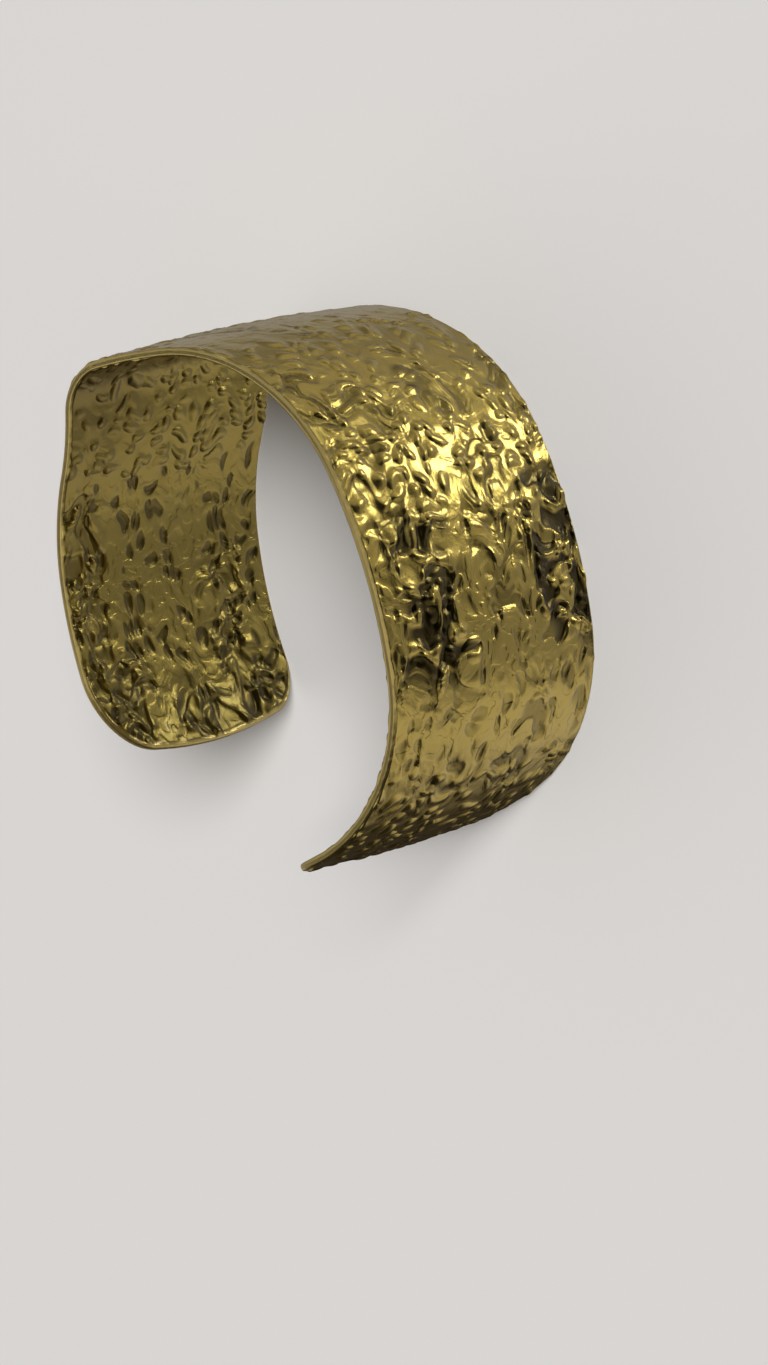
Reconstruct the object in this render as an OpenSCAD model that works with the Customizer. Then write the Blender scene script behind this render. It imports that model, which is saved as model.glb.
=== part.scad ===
// Hammered metal cuff bracelet, one bent strip of sheet, lying on its side.
// Z runs across the band and the opening faces -Y. The origin is at the middle of the base.

/* [Band] */
// Width of the band, from one rim to the other
band_w = 38; // [30:1:50]
// Thickness of the sheet over the tops of the hammer marks
band_t = 1; // [0.8:0.1:2]
// How far the band swells outwards midway between its rims
swell = 0.45; // [0:0.05:2]

/* [Bends, in order from the left end over the top to the right end] */
// Length of the left arm's lower stretch
left_tip_len = 20; // [12:0.5:28]
// Turn of the left arm's lower stretch, in degrees
left_tip_turn = 22; // [0:0.5:40]
// Length of the left arm's upper stretch
left_arm_len = 12; // [6:0.5:20]
// Turn of the left arm's upper stretch, in degrees
left_arm_turn = 21.5; // [0:0.5:40]
// Length of the shallow hollow below the left shoulder
hollow_len = 7.5; // [3:0.5:12]
// Outward turn of the shallow hollow, in degrees
hollow_turn = 13.5; // [0:0.5:20]
// Length of the tight left shoulder
shoulder_len = 8; // [6:0.5:14]
// Turn of the tight left shoulder, in degrees
shoulder_turn = 72; // [40:1:80]
// Length of the flatter stretch after the shoulder
brow_len = 9.5; // [4:0.5:16]
// Turn of the flatter stretch after the shoulder, in degrees
brow_turn = 7; // [0:1:20]
// Length of the round crown
crown_len = 27; // [18:0.5:34]
// Turn of the round crown, in degrees
crown_turn = 70; // [50:0.5:80]
// Length of the right arm's upper stretch
right_arm_len = 22; // [12:0.5:28]
// Turn of the right arm's upper stretch, in degrees
right_arm_turn = 20.5; // [0:0.5:30]
// Length of the right arm's lower stretch
right_tip_len = 31.5; // [20:0.5:38]
// Turn of the right arm's lower stretch, in degrees
right_tip_turn = 80; // [50:1:90]

/* [Lower rim] */
// Size of the lower rim's outline over the upper rim's
flare_ratio = 1.072; // [0.95:0.001:1.15]
// How far the lower rim sits to the right of the upper rim
sway_x = 0.8; // [-3:0.1:3]
// How far the lower rim sits towards the closed side of the upper rim
sway_y = -1.7; // [-3:0.1:3]

/* [Ends] */
// Corner radius of the left end at the upper rim
left_upper_r = 8; // [2:0.5:12]
// Corner radius of the left end at the lower rim
left_lower_r = 5; // [2:0.5:12]
// Corner radius of the right end at the upper rim
right_upper_r = 5.5; // [2:0.5:12]
// Corner radius of the right end at the lower rim
right_lower_r = 13; // [2:0.5:16]
// How far the left end bows out midway between its corners
left_bow = 2.4; // [0:0.1:4]
// How far the right end bows out midway between its corners
right_bow = 0.7; // [0:0.1:4]
// How much shorter the right end is at the lower rim than at the upper rim
right_slant = 2.7; // [0:0.1:6]

/* [Hidden] */

// Facets across the band, and the largest turn and length of one facet along it
rows = 18;
facet_turn = 5;
facet_len = 2.5;

// Each bend is its length and how far it turns clockwise
bends = [
    [left_tip_len, left_tip_turn],
    [left_arm_len, left_arm_turn],
    [hollow_len, -hollow_turn],
    [shoulder_len, shoulder_turn],
    [brow_len, brow_turn],
    [crown_len, crown_turn],
    [right_arm_len, right_arm_turn],
    [right_tip_len, right_tip_turn],
];

// Chord of the first part f of a bend that starts in direction h
function chord(bend, h, f) =
    let (half_turn = bend[1] * f / 2,
         l = half_turn == 0 ? bend[0] * f : bend[0] * f * sin(half_turn) / (half_turn * PI / 180))
    l * [cos(h - half_turn), sin(h - half_turn)];

// Length, direction and place at the start of bend i, for a strip that starts along +Y
function starts(i = 0, s = 0, h = 90, p = [0, 0]) =
    i == len(bends) ? [[s, h, p]] :
    concat([[s, h, p]], starts(i + 1, s + bends[i][0], h - bends[i][1], p + chord(bends[i], h, 1)));

bend_starts = starts();
band_len = bend_starts[len(bends)][0];

function bend_at(s, i = 0) = i == len(bends) - 1 || s < bend_starts[i + 1][0] ? i : bend_at(s, i + 1);

// Place and outward direction on the middle of the strip, s along from its left end
function mid_line(s) =
    let (i = bend_at(s), from = bend_starts[i],
         f = (s - from[0]) / bends[i][0], h = from[1] - bends[i][1] * f)
    [from[2] + chord(bends[i], from[1], f), [-sin(h), cos(h)]];

// The whole strip turns until its two ends are level, with the opening towards -Y
tip_chord = mid_line(band_len)[0] - mid_line(0)[0];
tip_angle = atan2(tip_chord[1], tip_chord[0]);
function level(p) = [[cos(tip_angle), sin(tip_angle)], [-sin(tip_angle), cos(tip_angle)]] * p;

// How much a corner of radius r shortens the strip at height z, at the upper or the lower rim
function corner_cut(z, r, upper) =
    let (d = upper ? z - (band_w - r) : r - z)
    d <= 0 ? 0 : r - sqrt(max(0, r * r - d * d));
function swelling(z) = 1 - pow(2 * z / band_w - 1, 2);
function below(z) = (band_w - z) / band_w;
function left_end(z) =
    corner_cut(z, left_upper_r, true) + corner_cut(z, left_lower_r, false) - left_bow * swelling(z);
function right_end(z) =
    band_len + right_bow * swelling(z) - right_slant * below(z)
    - corner_cut(z, right_upper_r, true) - corner_cut(z, right_lower_r, false);

// The lower rim's outline grows from the middle of the wrist's hollow
wrist = [0, level((mid_line(band_len / 2)[0] + mid_line(0)[0]) / 2)[1]];
mid_x = level((mid_line(0)[0] + mid_line(band_len)[0]) / 2)[0];
function flared(p, z) =
    let (q = p - wrist - [mid_x, 0])
    q * (1 + (flare_ratio - 1) * below(z)) + below(z) * [sway_x, sway_y];

function skin(s, z, side) =
    let (m = mid_line(s), p = flared(level(m[0] + m[1] * (side * band_t / 2 + swell * swelling(z))), z))
    [p[0], p[1], z];

// Stations along the strip, closer together where it bends tightly, as shares of its length
function bend_steps(b) = max(ceil(b[0] / facet_len), ceil(abs(b[1]) / facet_turn));
stations = concat(
    [for (i = [0 : len(bends) - 1]) let (n = bend_steps(bends[i]))
        for (k = [0 : n - 1]) (bend_starts[i][0] + bends[i][0] * k / n) / band_len],
    [1]);
cols = len(stations) - 1;

// Heights of the rows, closer together at the rims, where the corners turn
heights = [for (j = [0 : rows]) band_w / 2 * (1 - cos(180 * j / rows))];

function face_grid(side) =
    [for (z = heights) let (a = left_end(z), b = right_end(z))
        for (u = stations) skin(a + (b - a) * u, z, side)];

raw_points = concat(face_grid(1), face_grid(-1));
xs = [for (p = raw_points) p[0]];
ys = [for (p = raw_points) p[1]];
middle = [(min(xs) + max(xs)) / 2, (min(ys) + max(ys)) / 2, 0];
cuff_points = [for (p = raw_points) p - middle];

// Number of a point in row j and column i of the outer face, or of the inner face
function at(j, i, inner = 0) = inner * (rows + 1) * (cols + 1) + j * (cols + 1) + i;

// The two triangles of a four-cornered facet
function facet(a, b, c, d) = [[a, b, c], [a, c, d]];

outer_faces = [for (j = [0 : rows - 1]) for (i = [0 : cols - 1])
    each facet(at(j, i), at(j + 1, i), at(j + 1, i + 1), at(j, i + 1))];
inner_faces = [for (j = [0 : rows - 1]) for (i = [0 : cols - 1])
    each facet(at(j, i, 1), at(j, i + 1, 1), at(j + 1, i + 1, 1), at(j + 1, i, 1))];
lower_rim_faces = [for (i = [0 : cols - 1])
    each facet(at(0, i), at(0, i + 1), at(0, i + 1, 1), at(0, i, 1))];
upper_rim_faces = [for (i = [0 : cols - 1])
    each facet(at(rows, i), at(rows, i, 1), at(rows, i + 1, 1), at(rows, i + 1))];
left_end_faces = [for (j = [0 : rows - 1])
    each facet(at(j, 0), at(j, 0, 1), at(j + 1, 0, 1), at(j + 1, 0))];
right_end_faces = [for (j = [0 : rows - 1])
    each facet(at(j, cols), at(j + 1, cols), at(j + 1, cols, 1), at(j, cols, 1))];
cuff_faces = concat(outer_faces, inner_faces,
    lower_rim_faces, upper_rim_faces, left_end_faces, right_end_faces);

module cuff() {
    color("darkgoldenrod")
    polyhedron(cuff_points, cuff_faces, convexity = 8);
}

cuff();
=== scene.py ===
"""A hammered brass cuff bracelet, one bent strip of sheet, lying on its side under soft studio light."""

import math

import bpy
import numpy as np
from mathutils import Matrix, Vector


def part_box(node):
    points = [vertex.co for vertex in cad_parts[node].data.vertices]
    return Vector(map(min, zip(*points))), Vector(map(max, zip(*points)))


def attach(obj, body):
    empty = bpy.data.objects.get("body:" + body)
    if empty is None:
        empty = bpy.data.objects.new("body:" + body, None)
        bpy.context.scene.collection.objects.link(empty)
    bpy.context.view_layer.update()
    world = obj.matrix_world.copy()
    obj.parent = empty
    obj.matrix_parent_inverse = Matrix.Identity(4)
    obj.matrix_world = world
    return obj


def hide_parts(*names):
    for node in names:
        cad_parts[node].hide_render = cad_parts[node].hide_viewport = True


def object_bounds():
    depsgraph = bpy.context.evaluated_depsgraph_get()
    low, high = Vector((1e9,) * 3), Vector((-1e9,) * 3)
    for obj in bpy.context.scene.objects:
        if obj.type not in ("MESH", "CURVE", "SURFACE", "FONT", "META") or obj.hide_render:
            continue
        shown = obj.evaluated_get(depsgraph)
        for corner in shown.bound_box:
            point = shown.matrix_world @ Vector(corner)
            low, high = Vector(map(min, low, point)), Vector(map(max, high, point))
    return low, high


MM = 0.001

# The strip before it is bent, in millimetres
SHEET = 1.0
SWELL = 0.45

# Each bend from the left end over the crown to the right end: its length,
# and its clockwise turn in degrees
BENDS = [
    (20, 22),
    (12, 21.5),
    (7.5, -13.5),
    (8, 72),
    (9.5, 7),
    (27, 70),
    (22, 20.5),
    (31.5, 80),
]

# The lower rim's outline over the upper rim's, and how far it sits to the side of it
FLARE = 1.072
SWAY = (0.8, -1.7)

# Each end: corner radius at the upper and the lower rim, the bow between them,
# and how much the lower rim is shortened
LEFT_END = {"upper": 8.0, "lower": 5.0, "bow": 2.4, "slant": 0.0}
RIGHT_END = {"upper": 5.5, "lower": 13.0, "bow": 0.7, "slant": 2.7}

# The strip's mesh: facets along it and across it, rows over its edge, the rounding of the edge in
# millimetres, and the share of the rows, beside each rim, that lie closer together
ALONG = 358
ACROSS = 124
EDGE_ROWS = 5
EDGE_ROUND = 0.32
CORNER_ZONE = 0.1

# How far the middle line runs out past each end, and its step, in millimetres
RUN_OUT = 4.0
LINE_STEP = 0.2

# Each kind of mark: its size across, and its depth or height, in millimetres
DENT_SIZE = 1.9
DENT_DEPTH = 0.18
PIT_DEPTH = 0.3
KNOB_SIZE = 1.5
KNOB_HEIGHT = 0.28
LUMP_SIZE = 2.2

# Depths in millimetres on plain metal, and what each kind of hammering adds to them
STEP_DEPTH = {"plain": 0.06, "knobbed": -0.045}
LUMP_DEPTH = {"plain": 0.02, "worked": 0.18}
WAVE_DEPTH = {"plain": 0.03, "rippled": 0.09}
KNOCK_DEPTH = {"plain": 0.09, "worked": 0.03, "calm": -0.05}

# The share of the cells that have a dent or a knob, in the same way
DENT_SHARE = {"plain": 0.28, "dented": 0.4, "rippled": -0.22}
KNOB_SHARE = {"plain": 0.4, "knobbed": 0.6}

# Between which values of its noise the wall of a pit and of a step lies, and how far the noise
# is raised where the face is worked, which makes the pits there larger
PIT_WALL = (0.55, 0.68)
STEP_WALL = (0.46, 0.54)
MORE_PITS = 0.13

# The marks' share in the mesh, and in the bump that sharpens their edges
IN_MESH = 0.65
IN_BUMP = 0.45

# In millimetres: how far from every edge the marks fade out, and how far a stretch of
# hammering fades to each side of its border, along the strip and across it. Then the whole swing,
# along and across, of the borders, of the rows of marks and of the single marks.
RIM_FADE = 0.3
SOFT_ALONG = 3.0
SOFT_ACROSS = 1.5
BORDER_SWAY = (8.0, 8.0, 0.0)
ROW_SWAY = (5.0, 5.0, 0.0)
MARK_SWAY = (0.45, 0.45, 0.0)


# Where each face is worked deepest, rippled across, left calm, or dented:
# from and to along the strip, then from and to across it, in millimetres
OUTER = {
    "seed": 3.7,
    "chance": 0.5,
    "worked": [(89, 108, 24, 35), (88, 109, -3, 9.5), (12, 40, 5, 30)],
    "rippled": [(62, 90, -2, 42), (118, 140, -2, 40), (34, 56, -2, 40)],
    "calm": [(92, 112, 11, 23)],
    "dented": [(14, 34, 0, 38), (88, 124, 0, 38)],
}
INNER = {
    "seed": 17.2,
    "chance": 0.2,
    "worked": [(-4, 11, 28, 42), (-2, 3, -3, 24), (4, 20, 4, 13), (8, 30, 31, 42), (60, 100, 6, 30)],
    "rippled": [(30, 56, -2, 40), (100, 130, -2, 40)],
    "calm": [(12, 26, 18, 30)],
    "dented": [(-4, 32, 0, 38), (58, 104, 0, 38)],
}


class Value:
    """A node's output that Python's operators do arithmetic on, each by adding one Math node."""

    def __init__(self, wires, socket):
        self.wires = wires
        self.socket = socket

    def maths(self, operation, *others):
        values = dict(enumerate((self, *others)))
        return self.wires.add("ShaderNodeMath", {"operation": operation}, values)

    def __add__(self, other):
        return self.maths("ADD", other)

    def __sub__(self, other):
        return self.maths("SUBTRACT", other)

    def __rsub__(self, other):
        return self.wires.number(other).maths("SUBTRACT", self)

    def __mul__(self, other):
        return self.maths("MULTIPLY", other)

    def __truediv__(self, other):
        return self.maths("DIVIDE", other)

    def __pow__(self, other):
        return self.maths("POWER", other)

    __radd__ = __add__
    __rmul__ = __mul__

    def least(self, other):
        return self.maths("MINIMUM", other)

    def most(self, other):
        return self.maths("MAXIMUM", other)

    def rise(self, start, end):
        """0 up to start, 1 from end, and a smooth curve between them."""
        return self.wires.add(
            "ShaderNodeMapRange",
            {"interpolation_type": "SMOOTHSTEP"},
            {"Value": self, "From Min": start, "From Max": end},
        )

    def out(self, name):
        """Another output of the same node."""
        return Value(self.wires, self.socket.node.outputs[name])


class Wires:
    """Adds nodes to one tree."""

    def __init__(self, tree):
        self.tree = tree

    def add(self, kind, settings=None, sockets=None):
        node = self.tree.nodes.new(kind)
        for name, setting in (settings or {}).items():
            setattr(node, name, setting)
        for key, value in (sockets or {}).items():
            socket = node.inputs[key]
            if isinstance(value, Value):
                self.tree.links.new(value.socket, socket)
            else:
                socket.default_value = value
        shown = [s for s in node.outputs if s.enabled]
        return Value(self, shown[0]) if shown else node

    def number(self, value):
        number = self.add("ShaderNodeValue")
        number.socket.default_value = value
        return number

    def vector(self, x, y, z):
        return self.add("ShaderNodeCombineXYZ", {}, {0: x, 1: y, 2: z})

    def parts(self, vector):
        split = self.add("ShaderNodeSeparateXYZ", {}, {0: vector})
        return split, split.out("Y"), split.out("Z")

    def vectors(self, operation, *vectors):
        return self.add("ShaderNodeVectorMath", {"operation": operation}, dict(enumerate(vectors)))

    def noise(self, vector, scale, detail=0.0):
        return self.add("ShaderNodeTexNoise", {}, {"Vector": vector, "Scale": scale, "Detail": detail})

    def drawn_out(self, vector, along, across, shift=(0.0, 0.0, 0.0)):
        """The place to read a pattern at: the smaller a number, the longer the pattern is drawn out."""
        return self.vectors("MULTIPLY_ADD", vector, (along, across, 1.0), shift)

    def cells(self, vector, size, feature):
        sockets = {"Vector": vector, "Scale": 1 / size, "Randomness": 0.85}
        return self.add("ShaderNodeTexVoronoi", {"voronoi_dimensions": "2D", "feature": feature}, sockets)

    def between(self, factor, low, high):
        """A vector between two vectors."""
        reach = self.vectors("SUBTRACT", high, low)
        return self.vectors("MULTIPLY_ADD", reach, self.vector(factor, factor, factor), low)

    def blend(self, factor, low, high):
        """A colour between two colours."""
        mix = self.tree.nodes.new("ShaderNodeMix")
        mix.data_type = "RGBA"
        for key, value in ((0, factor), (6, low), (7, high)):
            if isinstance(value, Value):
                self.tree.links.new(value.socket, mix.inputs[key])
            else:
                mix.inputs[key].default_value = value
        return Value(self, mix.outputs[2])


# ---------------------------------------------------------------- the strip's middle line


def middle_line():
    """The strip's bent middle line, run out past both ends, and the strip's length."""
    lengths, turns = np.array(BENDS).T
    knots = np.concatenate([[0], np.cumsum(lengths)])
    headings = 90 - np.concatenate([[0], np.cumsum(turns)])
    rates = turns / lengths
    knots = np.concatenate([[-RUN_OUT], knots, [knots[-1] + RUN_OUT]])
    headings = np.concatenate(
        [[headings[0] + RUN_OUT * rates[0]], headings, [headings[-1] - RUN_OUT * rates[-1]]]
    )
    length = lengths.sum()
    count = round((length + 2 * RUN_OUT) / LINE_STEP)
    along = np.linspace(-RUN_OUT, length + RUN_OUT, count + 1)
    step = along[1] - along[0]
    halfway = np.radians(np.interp(along[:-1] + step / 2, knots, headings))
    moves = step * np.column_stack([np.cos(halfway), np.sin(halfway)])
    line = np.concatenate([[[0, 0]], np.cumsum(moves, axis=0)])

    def place(s):
        return np.array([np.interp(s, along, line[:, 0]), np.interp(s, along, line[:, 1])])

    tips = place(length) - place(0)
    angle = math.atan2(tips[1], tips[0])
    level = np.array([[math.cos(angle), math.sin(angle)], [-math.sin(angle), math.cos(angle)]])
    tips_middle = level @ (place(0) + place(length)) / 2
    side_middle = level @ (place(0) + place(length / 2)) / 2
    return (line @ level.T - [tips_middle[0], side_middle[1]]) * MM, length * MM


def line_object(points):
    curve = bpy.data.curves.new("strip_line", "CURVE")
    curve.dimensions = "3D"
    spline = curve.splines.new("POLY")
    spline.points.add(len(points) - 1)
    for point, (x, y) in zip(spline.points, points):
        point.co = (x, y, 0, 1)
    holder = bpy.data.objects.new("strip_line", curve)
    bpy.context.scene.collection.objects.link(holder)
    return holder


# ---------------------------------------------------------------- hammering


def patches(w, place, corners):
    """1 within the given stretches of the strip, softly 0 outside."""
    x, y, _ = w.parts(place)
    inside = w.number(0.0)
    for left, right, bottom, top in corners:
        beside = (x - left).rise(-SOFT_ALONG, SOFT_ALONG) * (right - x).rise(-SOFT_ALONG, SOFT_ALONG)
        above = (y - bottom).rise(-SOFT_ACROSS, SOFT_ACROSS)
        below = (top - y).rise(-SOFT_ACROSS, SOFT_ACROSS)
        inside = inside.most(beside * above * below)
    return inside


def amount(parts, **kinds):
    """The plain number, with what each of the others adds to it where its mask is 1."""
    total = parts["plain"]
    for name, kind in kinds.items():
        total = total + kind * parts[name]
    return total


def zones(w, along, across, face):
    """A place swayed so that nothing runs straight, and how much of each kind of hammering is there."""
    seed = face["seed"]
    flat = w.vector(along, across, seed)
    sway = w.vectors("SUBTRACT", w.noise(flat, 0.17, 1.0).out("Color"), (0.5, 0.5, 0.5))
    twist = w.vectors("SUBTRACT", w.noise(flat, 0.6).out("Color"), (0.5, 0.5, 0.5))
    broad = w.vectors("MULTIPLY_ADD", sway, BORDER_SWAY, flat)
    moved = w.vectors("ADD", flat, (7 * seed, 3 * seed, 0.0))
    bent = w.vectors("MULTIPLY_ADD", sway, ROW_SWAY, moved)
    bent = w.vectors("MULTIPLY_ADD", twist, MARK_SWAY, bent)
    here = {name: patches(w, broad, face[name]) for name in ("worked", "rippled", "calm", "dented")}
    chance = w.noise(flat, 0.11).rise(0.52, 0.64)
    here["worked"] = here["worked"].most(chance * face["chance"])
    return bent, here


def spots(w, place, size, share):
    """Round bowls, one to a cell, each with its own reach; about this share of the cells has one."""
    cell = w.cells(place, size, "F1")
    chance = w.parts(cell.out("Color"))[0]
    reach = ((chance - 1.0 + share) * 1.2).most(0.0).least(0.5)
    return (reach * reach - cell * cell).most(0.0) * 4.0


def crisp_marks(w, bent, dented, rippled, worked):
    """Depth of dents, pits, raised knobs and low steps in millimetres, then dent and pit from 0 to 1."""
    share = amount(DENT_SHARE, dented=dented, rippled=rippled)
    dent = spots(w, w.drawn_out(bent, 0.78, 1.0), DENT_SIZE, share)
    knobbed = rippled.most(worked)
    share = amount(KNOB_SHARE, knobbed=knobbed)
    knob = spots(w, w.drawn_out(bent, 1.0, 0.6, (7.0, 3.0, 0.0)), KNOB_SIZE, share) * knobbed
    ragged = w.noise(w.drawn_out(bent, 0.46, 0.34, (5.0, 9.0, 0.0)), 1.0)
    pit = (ragged + worked * MORE_PITS).rise(*PIT_WALL) * worked
    step = w.noise(w.drawn_out(bent, 0.75, 0.6), 1.0, 1.0).rise(*STEP_WALL)
    depth = dent * DENT_DEPTH + pit * PIT_DEPTH - knob * KNOB_HEIGHT
    return depth + step * amount(STEP_DEPTH, knobbed=knobbed), dent, pit


def hammering(w, along, across, face):
    """Depth of the marks below one face of the sheet in millimetres, their place and their kinds."""
    bent, here = zones(w, along, across, face)
    worked, rippled, calm = here["worked"], here["rippled"], here["calm"]
    kinds = w.vector(here["dented"].most(worked), rippled, worked)
    crisp = crisp_marks(w, bent, *w.parts(kinds))[0]
    lump = (w.cells(bent, LUMP_SIZE, "SMOOTH_F1") * 1.3).least(1.0) ** 2.0 - 0.5
    wave = w.noise(w.drawn_out(bent, 0.7, 0.36), 1.0) - 0.5
    knock = w.noise(w.drawn_out(bent, 0.5, 0.44), 1.0) - 0.5
    soft = lump * amount(LUMP_DEPTH, worked=worked) + wave * amount(WAVE_DEPTH, rippled=rippled)
    soft = soft + knock * amount(KNOCK_DEPTH, worked=worked, calm=calm)
    return soft + crisp * IN_MESH, bent, kinds


def cuff_tree():
    tree = bpy.data.node_groups.new("hammered_cuff", "GeometryNodeTree")
    tree.is_modifier = True
    sockets = tree.interface
    sockets.new_socket("Geometry", in_out="INPUT", socket_type="NodeSocketGeometry")
    sockets.new_socket("Geometry", in_out="OUTPUT", socket_type="NodeSocketGeometry")
    inputs = {
        "Width": "NodeSocketFloat",
        "Length": "NodeSocketFloat",
        "Sheet": "NodeSocketFloat",
        "Swell": "NodeSocketFloat",
        "Flare": "NodeSocketFloat",
        "Mark Depth": "NodeSocketFloat",
        "Line": "NodeSocketObject",
        "Metal": "NodeSocketMaterial",
    }
    for name, kind in inputs.items():
        sockets.new_socket(name, in_out="INPUT", socket_type=kind)
    w = Wires(tree)
    given = w.add("NodeGroupInput")
    width, length, sheet = (given.out(name) for name in ("Width", "Length", "Sheet"))

    counts = {"Vertices X": ALONG + 1, "Vertices Y": ACROSS + 1, "Vertices Z": EDGE_ROWS + 1}
    bar = w.add("GeometryNodeMeshCube", {}, {"Size": (1, 1, 1), **counts})
    x, y, z = w.parts(w.add("GeometryNodeInputPosition"))

    # Over the edge, the faces' outline draws in as the thickness grows
    side = z * 2.0
    sign = side.maths("SIGN")
    level = side.maths("ABSOLUTE")
    start = 1.0 / EDGE_ROWS
    corner = ((level - start) / (1.0 - start)).most(0.0) * (math.pi / 2)
    edge = EDGE_ROUND * MM
    inset = edge * (1.0 - corner.maths("COSINE"))
    thick = sheet / 2.0 - edge + edge * corner.maths("SINE")
    on_face = level.maths("GREATER_THAN", 0.99)

    # Rows lie closer together at the rims, where the corners turn
    share = y + 0.5
    near = share.least(1.0 - share)
    steep = 0.5 / (CORNER_ZONE * (1 - CORNER_ZONE))
    start_up = near.least(CORNER_ZONE)
    grown = start_up * start_up * steep + (near - CORNER_ZONE).most(0.0) * (2 * steep * CORNER_ZONE)
    across = width * (0.5 + y.maths("SIGN") * (0.5 - grown))

    def corner_cut(radius, upper):
        radius = radius * MM
        into = across - (width - radius) if upper else radius - across
        into = into.most(0.0)
        return radius - (radius * radius - into * into).most(0.0).maths("SQRT")

    middle = across * 2.0 / width - 1.0
    swelling = 1.0 - middle * middle
    below = 1.0 - across / width

    def shortening(end):
        cuts = corner_cut(end["upper"], True) + corner_cut(end["lower"], False)
        return cuts - swelling * (end["bow"] * MM) + below * (end["slant"] * MM)

    first = shortening(LEFT_END) + inset
    last = length - shortening(RIGHT_END) - inset
    along = first + (last - first) * (x + 0.5)
    across = width / 2.0 + (across - width / 2.0) * (1.0 - inset * 2.0 / width)

    # Marks fade out just before every edge
    to_rim = across.least(width - across)
    to_end = (along - first).least(last - along)
    to_edge = to_rim.least(to_end) / MM
    fade = to_edge.rise(0.0, RIM_FADE)
    depth = given.out("Mark Depth")
    outer_dent, outer_bent, outer_kinds = hammering(w, along / MM, across / MM, OUTER)
    inner_dent, inner_bent, inner_kinds = hammering(w, along / MM, across / MM, INNER)
    outside = sign.most(0.0)
    dent = (inner_dent + (outer_dent - inner_dent) * outside) * depth * fade * on_face
    bent = w.between(outside, inner_bent, outer_bent)
    kinds = w.between(outside, inner_kinds, outer_kinds)

    line = w.add("GeometryNodeObjectInfo", {}, {"Object": given.out("Line")}).out("Geometry")
    length_on = along + RUN_OUT * MM
    spot = w.add("GeometryNodeSampleCurve", {"mode": "LENGTH"}, {"Curves": line, "Length": length_on})
    px, py, _ = w.parts(spot.out("Position"))
    tx, ty, _ = w.parts(spot.out("Tangent"))
    out_by = sign * (thick - dent) + swelling * given.out("Swell")
    grow = 1.0 + (given.out("Flare") - 1.0) * below
    at_x = (px - ty * out_by) * grow + below * (SWAY[0] * MM)
    at_y = (py + tx * out_by) * grow + below * (SWAY[1] * MM)

    place = w.vector(at_x, at_y, across)
    shaped = w.add("GeometryNodeSetPosition", {}, {"Geometry": bar, "Position": place})

    # The fields are read from the flat bar, so they are kept before it is bent
    def keep(geometry, name, value, kind="FLOAT"):
        return w.add(
            "GeometryNodeStoreNamedAttribute",
            {"data_type": kind, "domain": "POINT"},
            {"Geometry": geometry, "Name": name, "Value": value},
        )

    kept = keep(bar, "bent", bent, "FLOAT_VECTOR")
    kept = keep(kept, "kinds", kinds, "FLOAT_VECTOR")
    kept = keep(kept, "face", on_face * fade)
    kept = keep(kept, "strip", w.vector(along / MM, across / MM, outside), "FLOAT_VECTOR")
    tree.links.new(kept.socket, shaped.socket.node.inputs["Geometry"])
    smooth = w.add("GeometryNodeSetShadeSmooth", {}, {"Geometry": shaped})
    real = w.add("GeometryNodeRealizeInstances", {}, {"Geometry": smooth})
    done = w.add("GeometryNodeSetMaterial", {}, {"Geometry": real, "Material": given.out("Metal")})
    w.add("NodeGroupOutput", {}, {"Geometry": done})
    return tree


def make_cuff(metal):
    low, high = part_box("cuff")
    points, length = middle_line()
    line = line_object(points)
    holder = bpy.data.objects.new("cuff_bar", bpy.data.meshes.new("cuff_bar"))
    bpy.context.scene.collection.objects.link(holder)
    tree = cuff_tree()
    making = holder.modifiers.new("making", "NODES")
    making.node_group = tree
    values = {
        "Width": high.z - low.z,
        "Length": length,
        "Sheet": SHEET * MM,
        "Swell": SWELL * MM,
        "Flare": FLARE,
        "Mark Depth": MM,
        "Line": line,
        "Metal": metal,
    }
    for item in tree.interface.items_tree:
        if item.in_out == "INPUT" and item.name in values:
            making[item.identifier] = values[item.name]
    seen = holder.evaluated_get(bpy.context.evaluated_depsgraph_get())
    mesh = bpy.data.meshes.new_from_object(seen)
    bpy.data.objects.remove(holder)
    bpy.data.objects.remove(line)
    mesh.name = "hammered_cuff"
    corners = np.empty(len(mesh.vertices) * 3)
    mesh.vertices.foreach_get("co", corners)
    corners = corners.reshape(-1, 3)
    middle = (corners.min(axis=0) + corners.max(axis=0)) / 2
    target = (low + high) / 2
    shift = (target.x - middle[0], target.y - middle[1], low.z - corners[:, 2].min())
    mesh.transform(Matrix.Translation(shift))
    cuff = bpy.data.objects.new("hammered_cuff", mesh)
    bpy.context.scene.collection.objects.link(cuff)
    return cuff


# ---------------------------------------------------------------- metal


# Brass on the outer face; on the inner face darker, as painted shade, and darker still, as painted shade,
# at its left tip, in the shoulder's tight bend and in the hollows of the marks; where it is clouded;
# and lighter along the rims, as a painted highlight
OUTER_BRASS = (0.80, 0.615, 0.16, 1)
SHADED_INNER_BRASS = (0.53, 0.41, 0.1, 1)
SHADED_TIP_BRASS = (0.28, 0.215, 0.05, 1)
SHADED_BEND_BRASS = (0.27, 0.2, 0.055, 1)
HOLLOW_SHADE_BRASS = (0.08, 0.06, 0.02, 1)
CLOUD_BRASS = (0.5, 0.4, 0.13, 1)
RIM_HIGHLIGHT_BRASS = (0.95, 0.76, 0.27, 1)

# Roughness of the inner face, with what the outer face, clouding and the rims add to it
ROUGHNESS = {"plain": 0.26, "outer": -0.07, "clouded": 0.07, "rim": 0.06}

# Small unevenness in millimetres: fine grain, the finest hammering, and grain along the rims
GRAIN = 0.025
PEENING = 0.03
RIM_GRAIN = 0.12

# The lacquer is thin, and gone where the hollows are darkened as painted shade
LACQUER = 0.12
LACQUER_ROUGHNESS = 0.12

FLOOR_GREY = (0.78, 0.77, 0.76, 1)


def new_material(name):
    material = bpy.data.materials.new(name)
    material.use_nodes = True
    material.node_tree.nodes.clear()
    return material, Wires(material.node_tree)


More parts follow.
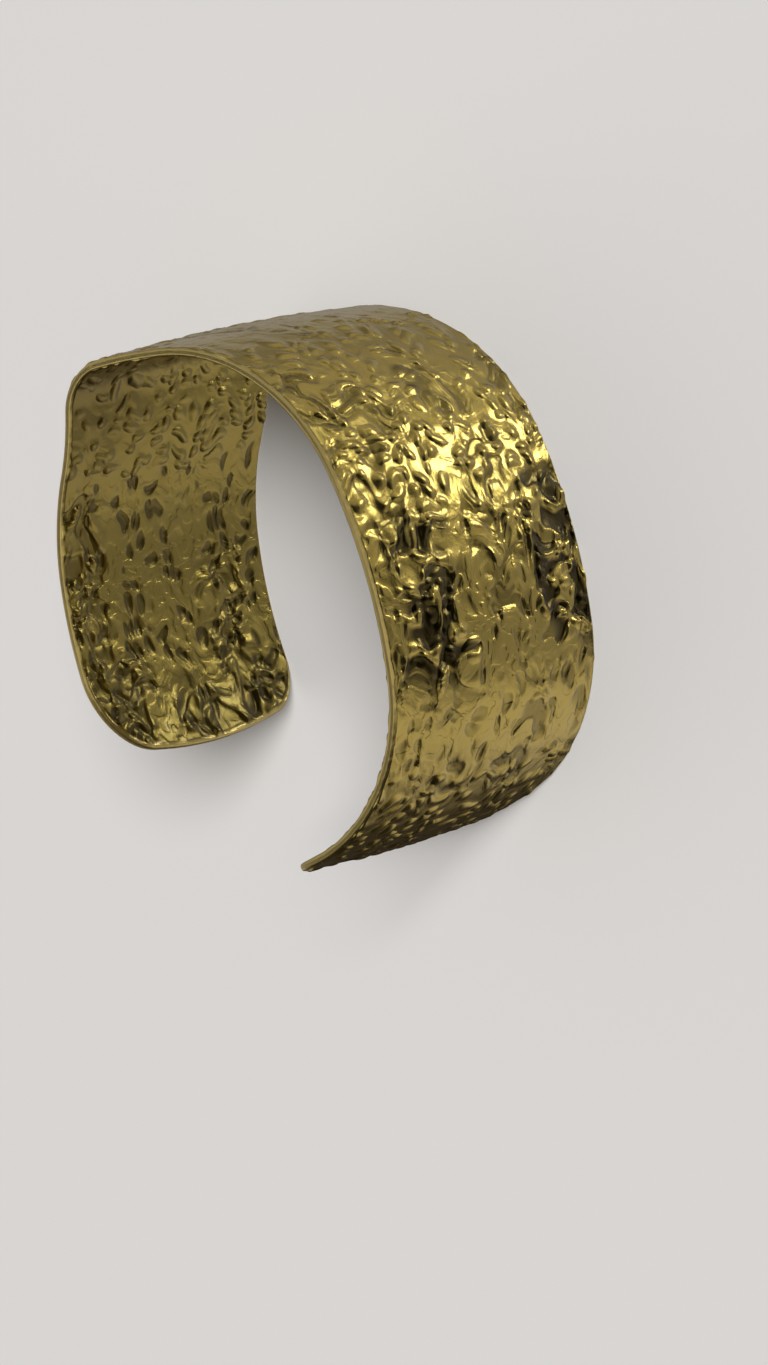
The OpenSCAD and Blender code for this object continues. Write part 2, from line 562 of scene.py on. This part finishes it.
def brass():
    material, w = new_material("hammered_brass")

    def kept(name, output="Vector"):
        return w.add("ShaderNodeAttribute", {"attribute_name": name}).out(output)

    face = kept("face", "Fac")
    bent = kept("bent")
    along, across, outside = w.parts(kept("strip"))

    # What the mesh is too coarse for: the sharpness of the marks, and small unevenness
    crisp, dent, pit = crisp_marks(w, bent, *w.parts(kept("kinds")))
    fine = crisp * IN_BUMP + w.noise(bent, 1.5, 1.0) * GRAIN - w.cells(bent, 1.2, "SMOOTH_F1") * PEENING
    place = w.vector(along, across, outside * 40.0)
    rim = w.noise(place, 0.9, 1.0) * RIM_GRAIN
    fine = rim + (fine - rim) * face

    # The inner face is darker at its tip and in the bend, as painted shade, and every hollow is darkened
    # as painted shade
    cloud = w.noise(place, 0.09, 3.0)
    # Painted shade: the inner face turns darker over the first 14 mm towards its left tip
    inner = w.blend(along.rise(0.0, 14.0), SHADED_TIP_BRASS, SHADED_INNER_BRASS)
    # Painted shade in the shoulder's tight bend on the inner face
    bend_shade = along.rise(26.0, 44.0) * across.rise(14.0, 36.0)
    inner = w.blend(bend_shade * 0.8, inner, SHADED_BEND_BRASS)
    # Painted shade: the inner face takes a darker brass than the outer face
    colour = w.blend(outside, inner, OUTER_BRASS)
    # Painted shade: dents and pits are darkened towards a near-black brass, more on the inner face
    dent_shade = dent.rise(0.05, 0.4) * (0.7 - outside * 0.45)
    hollow_shade = dent_shade.most(pit * (0.4 + outside * 0.56)) * face
    colour = w.blend(hollow_shade, colour, HOLLOW_SHADE_BRASS)
    colour = w.blend(cloud.rise(0.5, 0.75) * 0.3, colour, CLOUD_BRASS)
    # Painted highlight: a lighter brass on the rounded rims, where face falls to 0
    colour = w.blend(face, RIM_HIGHLIGHT_BRASS, colour)
    rough = amount(ROUGHNESS, outer=outside, clouded=cloud, rim=1.0 - face)
    bump = w.add("ShaderNodeBump", {}, {"Strength": 1.0, "Distance": MM, "Height": fine})
    shader = w.add(
        "ShaderNodeBsdfPrincipled",
        {},
        {
            "Base Color": colour,
            "Metallic": 1.0,
            "Roughness": rough,
            "Normal": bump,
            "Coat Weight": LACQUER - hollow_shade * LACQUER,
            "Coat Roughness": LACQUER_ROUGHNESS,
        },
    )
    w.add("ShaderNodeOutputMaterial", {}, {"Surface": shader})
    return material


def floor_paint():
    material, w = new_material("pale_floor")
    shader = w.add("ShaderNodeBsdfPrincipled", {}, {"Base Color": FLOOR_GREY, "Roughness": 0.8})
    w.add("ShaderNodeOutputMaterial", {}, {"Surface": shader})
    return material


# ---------------------------------------------------------------- camera, floor and light


# The camera: azimuth, elevation and roll in degrees, the lens in millimetres, and how far in
# metres it stands back from the cuff's middle and to its own right and up of it
VIEW = (48.04, 51.34, -111.4)
LENS = 68.4
AWAY = 0.29842
ASIDE = 0.00739
ABOVE = -0.01211

# The floor's half width in metres, and the one wide light: its spread in degrees, its power,
# and where it shines from
FLOOR_REACH = 12.0
LIGHT_SPREAD = 24
LIGHT_POWER = 2.5
LIGHT_FROM = (0.3, 0.55, 0.8)

# What the metal mirrors, in the camera's axes: to the right, up and backwards.
# Underneath it is dark. Then come bands, each from a height up to another, with its colour.
UNDER = (0.02, 0.018, 0.015, 1)
BANDS = [
    (-0.73, -0.38, (0.46, 0.43, 0.4, 1)),
    (-0.32, -0.05, (0.22, 0.21, 0.21, 1)),
    (0.1, 0.4, (0.3, 0.29, 0.3, 1)),
    (0.5, 0.8, (0.14, 0.13, 0.12, 1)),
]

# Over them lie round patches: direction, inner and outer half angle in degrees, and colour
KEY = (0.84, 0.47, -0.28)
PATCHES = {
    "pale ceiling": ((0.4, 0.85, -0.2), 4, 34, (0.32, 0.3, 0.28, 1)),
    "dark doorway": ((0.9, 0.05, 0.5), 20, 42, (0.01, 0.01, 0.01, 1)),
    "dark far wall": ((0.15, -0.4, -0.9), 8, 30, (0.03, 0.025, 0.02, 1)),
    "pale side panel": ((-0.9, -0.35, 0.22), 10, 30, (0.7, 0.66, 0.6, 1)),
    "lit wall": ((0.83, 0.5, -0.3), 6, 26, (0.32, 0.3, 0.27, 1)),
    "high lamp": ((0.62, 0.74, -0.26), 2, 6, (1.3, 1.3, 1.15, 1)),
    "key's glow": (KEY, 4, 10, (0.9, 0.86, 0.76, 1)),
    "key": (KEY, 2, 6, (7.0, 7.0, 6.4, 1)),
}
BACKDROP = (0.8, 0.8, 0.8, 1)


def view_axes(azimuth, elevation, roll):
    """Right, up and backward directions of a camera that looks at the object."""
    a, e, r = (math.radians(v) for v in (azimuth, elevation, roll))
    back = Vector((math.cos(a) * math.cos(e), math.sin(a) * math.cos(e), math.sin(e)))
    flat_right = Vector((-math.sin(a), math.cos(a), 0))
    flat_up = back.cross(flat_right)
    right = flat_right * math.cos(r) + flat_up * math.sin(r)
    return right, back.cross(right), back


def make_camera(low, high):
    right, up, back = view_axes(*VIEW)
    lens = bpy.data.cameras.new("camera")
    lens.sensor_width = 36
    lens.lens = LENS
    lens.clip_start = 0.01
    lens.clip_end = 20
    camera = bpy.data.objects.new("camera", lens)
    bpy.context.scene.collection.objects.link(camera)
    turn = Matrix((right, up, back)).transposed().to_4x4()
    middle = (low + high) / 2
    place = middle + right * ASIDE + up * ABOVE + back * AWAY
    camera.matrix_world = Matrix.Translation(place) @ turn
    bpy.context.scene.camera = camera
    return right, up, back


def make_floor(low):
    mesh = bpy.data.meshes.new("floor")
    square = ((-1, -1), (1, -1), (1, 1), (-1, 1))
    ring = [(x * FLOOR_REACH, y * FLOOR_REACH, low.z) for x, y in square]
    mesh.from_pydata(ring, [], [(0, 1, 2, 3)])
    mesh.materials.append(floor_paint())
    floor = bpy.data.objects.new("floor", mesh)
    bpy.context.scene.collection.objects.link(floor)
    floor.visible_glossy = False
    floor.visible_shadow = False


def make_world(right, up, back):
    """The studio that the metal mirrors, with a plain backdrop for the camera."""
    world = bpy.data.worlds.new("studio")
    world.use_nodes = True
    world.node_tree.nodes.clear()
    bpy.context.scene.world = world
    w = Wires(world.node_tree)
    look = w.add("ShaderNodeTexCoord").out("Generated")

    def towards(x, y, z):
        aim = (right * x + up * y + back * z).normalized()
        return w.vectors("DOT_PRODUCT", look, tuple(aim)).out("Value")

    height = towards(0, 1, 0)
    room = UNDER
    for start, end, colour in BANDS:
        room = w.blend(height.rise(start, end), room, colour)
    for direction, inner, outer, colour in PATCHES.values():
        near = towards(*direction).rise(math.cos(math.radians(outer)), math.cos(math.radians(inner)))
        room = w.blend(near, room, colour)
    seen = w.add("ShaderNodeLightPath").out("Is Camera Ray")
    room = w.blend(seen, room, BACKDROP)
    light = w.add("ShaderNodeBackground", {}, {"Color": room})
    w.add("ShaderNodeOutputWorld", {}, {"Surface": light})


def make_light():
    """One wide soft light for the floor and the shadow; the metal mirrors the studio instead."""
    lamp = bpy.data.lights.new("wide_light", "SUN")
    lamp.angle = math.radians(LIGHT_SPREAD)
    lamp.energy = LIGHT_POWER
    light = bpy.data.objects.new("wide_light", lamp)
    bpy.context.scene.collection.objects.link(light)
    light.rotation_euler = Vector(LIGHT_FROM).to_track_quat("Z", "Y").to_euler()
    light.visible_glossy = False


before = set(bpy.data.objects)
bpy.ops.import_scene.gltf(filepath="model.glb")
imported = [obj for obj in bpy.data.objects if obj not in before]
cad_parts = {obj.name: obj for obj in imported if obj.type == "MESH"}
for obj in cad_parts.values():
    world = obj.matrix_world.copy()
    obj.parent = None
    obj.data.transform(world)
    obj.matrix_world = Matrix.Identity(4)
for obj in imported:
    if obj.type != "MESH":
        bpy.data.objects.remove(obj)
cad_low, cad_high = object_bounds()
right, up, back = make_camera(cad_low, cad_high)
make_floor(cad_low)
make_world(right, up, back)
make_light()

cuff = make_cuff(brass())
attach(cuff, "root")
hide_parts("cuff")

bpy.context.scene.view_settings.view_transform = "Standard"
